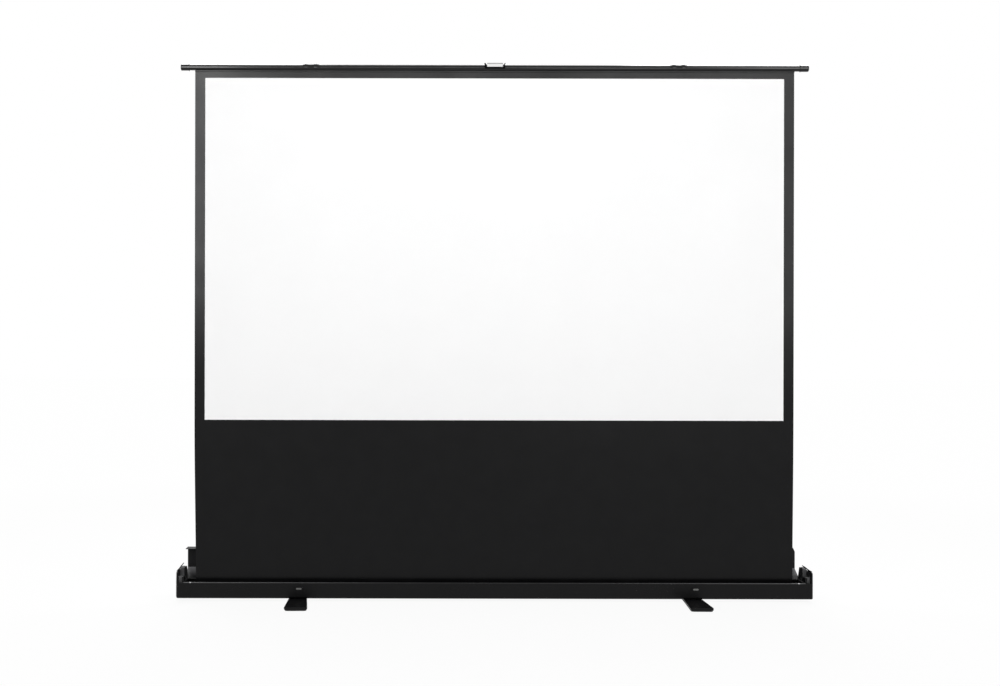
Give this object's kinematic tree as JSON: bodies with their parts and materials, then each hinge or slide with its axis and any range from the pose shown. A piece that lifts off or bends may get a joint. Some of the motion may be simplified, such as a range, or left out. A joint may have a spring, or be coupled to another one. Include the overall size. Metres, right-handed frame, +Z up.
{
  "type": "pull-up projection screen",
  "caption": "Floor-standing pull-up projection screen: spring roller and folding arms in a long base case with swivel feet, white sheet with black border under a top tube.",
  "frame": {"origin": "on the floor under the middle of the base, where the line between the two foot pivots is halved", "axes": "+X is the viewer's right along the case, -Y points to the viewer, +Z is up; the sheet faces -Y"},
  "size_m": [2.384, 0.4316, 2.0246],
  "materials": {
    "black_painted_aluminium": "semi-gloss",
    "black_moulded_plastic": "satin",
    "grey_moulded_plastic": "satin",
    "bright_zinc_steel": "bright",
    "black_painted_steel": "satin",
    "mill_aluminium": "mill",
    "black_pvc_fabric": "smooth",
    "matt_white_pvc": "matt",
    "black_painted_tube": "gloss",
    "light_grey_plastic": "satin",
    "black_rubber": "matt",
    "satin_metal": "satin"
  },
  "bodies": {
    "base": {"base_case": "black_painted_aluminium", "end_cap_left": "black_moulded_plastic", "end_cap_right": "black_moulded_plastic", "tube_cradle_left": "grey_moulded_plastic", "tube_cradle_right": "grey_moulded_plastic", "flap_pin_left": "bright_zinc_steel", "flap_pin_right": "bright_zinc_steel", "roller_bracket_left": "black_painted_steel", "roller_bracket_right": "black_painted_steel", "spring_arbor": "bright_zinc_steel", "winding_spring": "bright_zinc_steel", "arm_base_bracket_left": "black_painted_steel", "arm_base_bracket_right": "black_painted_steel", "foot_bolt_left": "bright_zinc_steel", "foot_bolt_right": "bright_zinc_steel", "foot_nut_left": "bright_zinc_steel", "foot_nut_right": "bright_zinc_steel", "button_housing_left": "black_moulded_plastic", "button_housing_right": "black_moulded_plastic", "screen_backing": "black_pvc_fabric", "viewing_surface": "matt_white_pvc", "button_spring_left": "bright_zinc_steel", "button_spring_right": "bright_zinc_steel"},
    "lid": {"lid": "black_painted_aluminium"},
    "roller": {"roller_tube": "mill_aluminium", "roller_plug_left": "black_moulded_plastic", "roller_plug_right": "black_moulded_plastic", "fabric_turns": "black_pvc_fabric"},
    "top_bar": {"top_tube": "black_painted_tube", "fabric_batten": "black_painted_tube", "handle_bracket": "black_painted_tube", "handle_pin": "bright_zinc_steel", "tube_cap_left": "black_moulded_plastic", "tube_cap_right": "black_moulded_plastic", "arm_clamp_left": "black_painted_tube", "arm_clamp_right": "black_painted_tube", "top_pin_left": "bright_zinc_steel", "top_pin_right": "bright_zinc_steel"},
    "handle": {"handle_grip": "light_grey_plastic"},
    "flap_left": {"end_flap_left": "black_moulded_plastic"},
    "button_left": {"push_button_left": "satin_metal"},
    "foot_left": {"foot_left": "black_moulded_plastic", "foot_sole_left": "black_rubber"},
    "lower_left": {"lower_arm_left": "black_painted_steel", "base_pin_left": "bright_zinc_steel", "arm_spring_left": "bright_zinc_steel", "elbow_pin_left": "bright_zinc_steel"},
    "upper_left": {"upper_arm_left": "black_painted_steel"},
    "flap_right": {"end_flap_right": "black_moulded_plastic"},
    "button_right": {"push_button_right": "satin_metal"},
    "foot_right": {"foot_right": "black_moulded_plastic", "foot_sole_right": "black_rubber"},
    "lower_right": {"lower_arm_right": "black_painted_steel", "base_pin_right": "bright_zinc_steel", "arm_spring_right": "bright_zinc_steel", "elbow_pin_right": "bright_zinc_steel"},
    "upper_right": {"upper_arm_right": "black_painted_steel"}
  },
  "joints": [
    {"name": "lower_right_fold", "type": "hinge", "parent": "base", "child": "lower_right", "pos_m": [0.693, 0.0187, 0.0463], "axis": [0, 1, 0], "range_deg": [-66.78, 0], "deforming": ["screen_backing", "viewing_surface"]},
    {"name": "upper_right_fold", "type": "hinge", "parent": "lower_right", "child": "upper_right", "pos_m": [0.29559, 0.0099, 1.02745], "axis": [0, 1, 0], "range_deg": [0, 133.57]},
    {"name": "top_bar_level", "type": "hinge", "parent": "upper_right", "child": "top_bar", "pos_m": [0.693, -0.0102, 2.0086], "axis": [0, 1, 0], "range_deg": [-66.79, 0]},
    {"name": "lower_left_fold", "type": "hinge", "parent": "base", "child": "lower_left", "pos_m": [-0.693, 0.0389, 0.0463], "axis": [0, 1, 0], "range_deg": [0, 66.79]},
    {"name": "upper_left_fold", "type": "hinge", "parent": "lower_left", "child": "upper_left", "pos_m": [-0.29559, 0.0301, 1.02745], "axis": [0, 1, 0], "range_deg": [-133.57, 0]},
    {"name": "roller_spin", "type": "hinge", "parent": "base", "child": "roller", "pos_m": [0, -0.028, 0.0413], "axis": [1, 0, 0], "range_deg": [-5610.52, 0]},
    {"name": "lid_hinge", "type": "hinge", "parent": "base", "child": "lid", "pos_m": [0, 0.0535, 0.0668], "axis": [1, 0, 0], "range_deg": [0, 9]},
    {"name": "flap_left_hinge", "type": "hinge", "parent": "base", "child": "flap_left", "pos_m": [-1.18765, -0.0295, 0.1152], "axis": [0, 1, 0], "range_deg": [-50, 20]},
    {"name": "flap_right_hinge", "type": "hinge", "parent": "base", "child": "flap_right", "pos_m": [1.18765, -0.0295, 0.1152], "axis": [0, -1, 0], "range_deg": [-65, 5]},
    {"name": "foot_left_swivel", "type": "hinge", "parent": "base", "child": "foot_left", "pos_m": [-0.7375, 0, 0.0083], "axis": [0, 0, 1], "range_deg": [-91.5, 88.5]},
    {"name": "foot_right_swivel", "type": "hinge", "parent": "base", "child": "foot_right", "pos_m": [0.7445, 0, 0.0083], "axis": [0, 0, 1], "range_deg": [-88.8, 91.2]},
    {"name": "handle_fold", "type": "hinge", "parent": "top_bar", "child": "handle", "pos_m": [0, -0.0262, 2.0121], "axis": [1, 0, 0], "range_deg": [0, 90]},
    {"name": "button_left_press", "type": "slide", "parent": "base", "child": "button_left", "axis": [0, 1, 0], "range_m": [0, 0.0018], "stiffness_N_per_m": 300, "deforming": ["button_spring_left"]},
    {"name": "button_right_press", "type": "slide", "parent": "base", "child": "button_right", "axis": [0, 1, 0], "range_m": [0, 0.0018], "stiffness_N_per_m": 300, "deforming": ["button_spring_right"]}
  ],
  "couplings": [
    {"joint": "upper_right_fold", "follows": "lower_right_fold", "ratio": -2},
    {"joint": "top_bar_level", "follows": "lower_right_fold", "ratio": 1},
    {"joint": "lower_left_fold", "follows": "lower_right_fold", "ratio": -1},
    {"joint": "upper_left_fold", "follows": "lower_right_fold", "ratio": 2},
    {"joint": "roller_spin", "follows": "lower_right_fold", "ratio": 84}
  ]
}
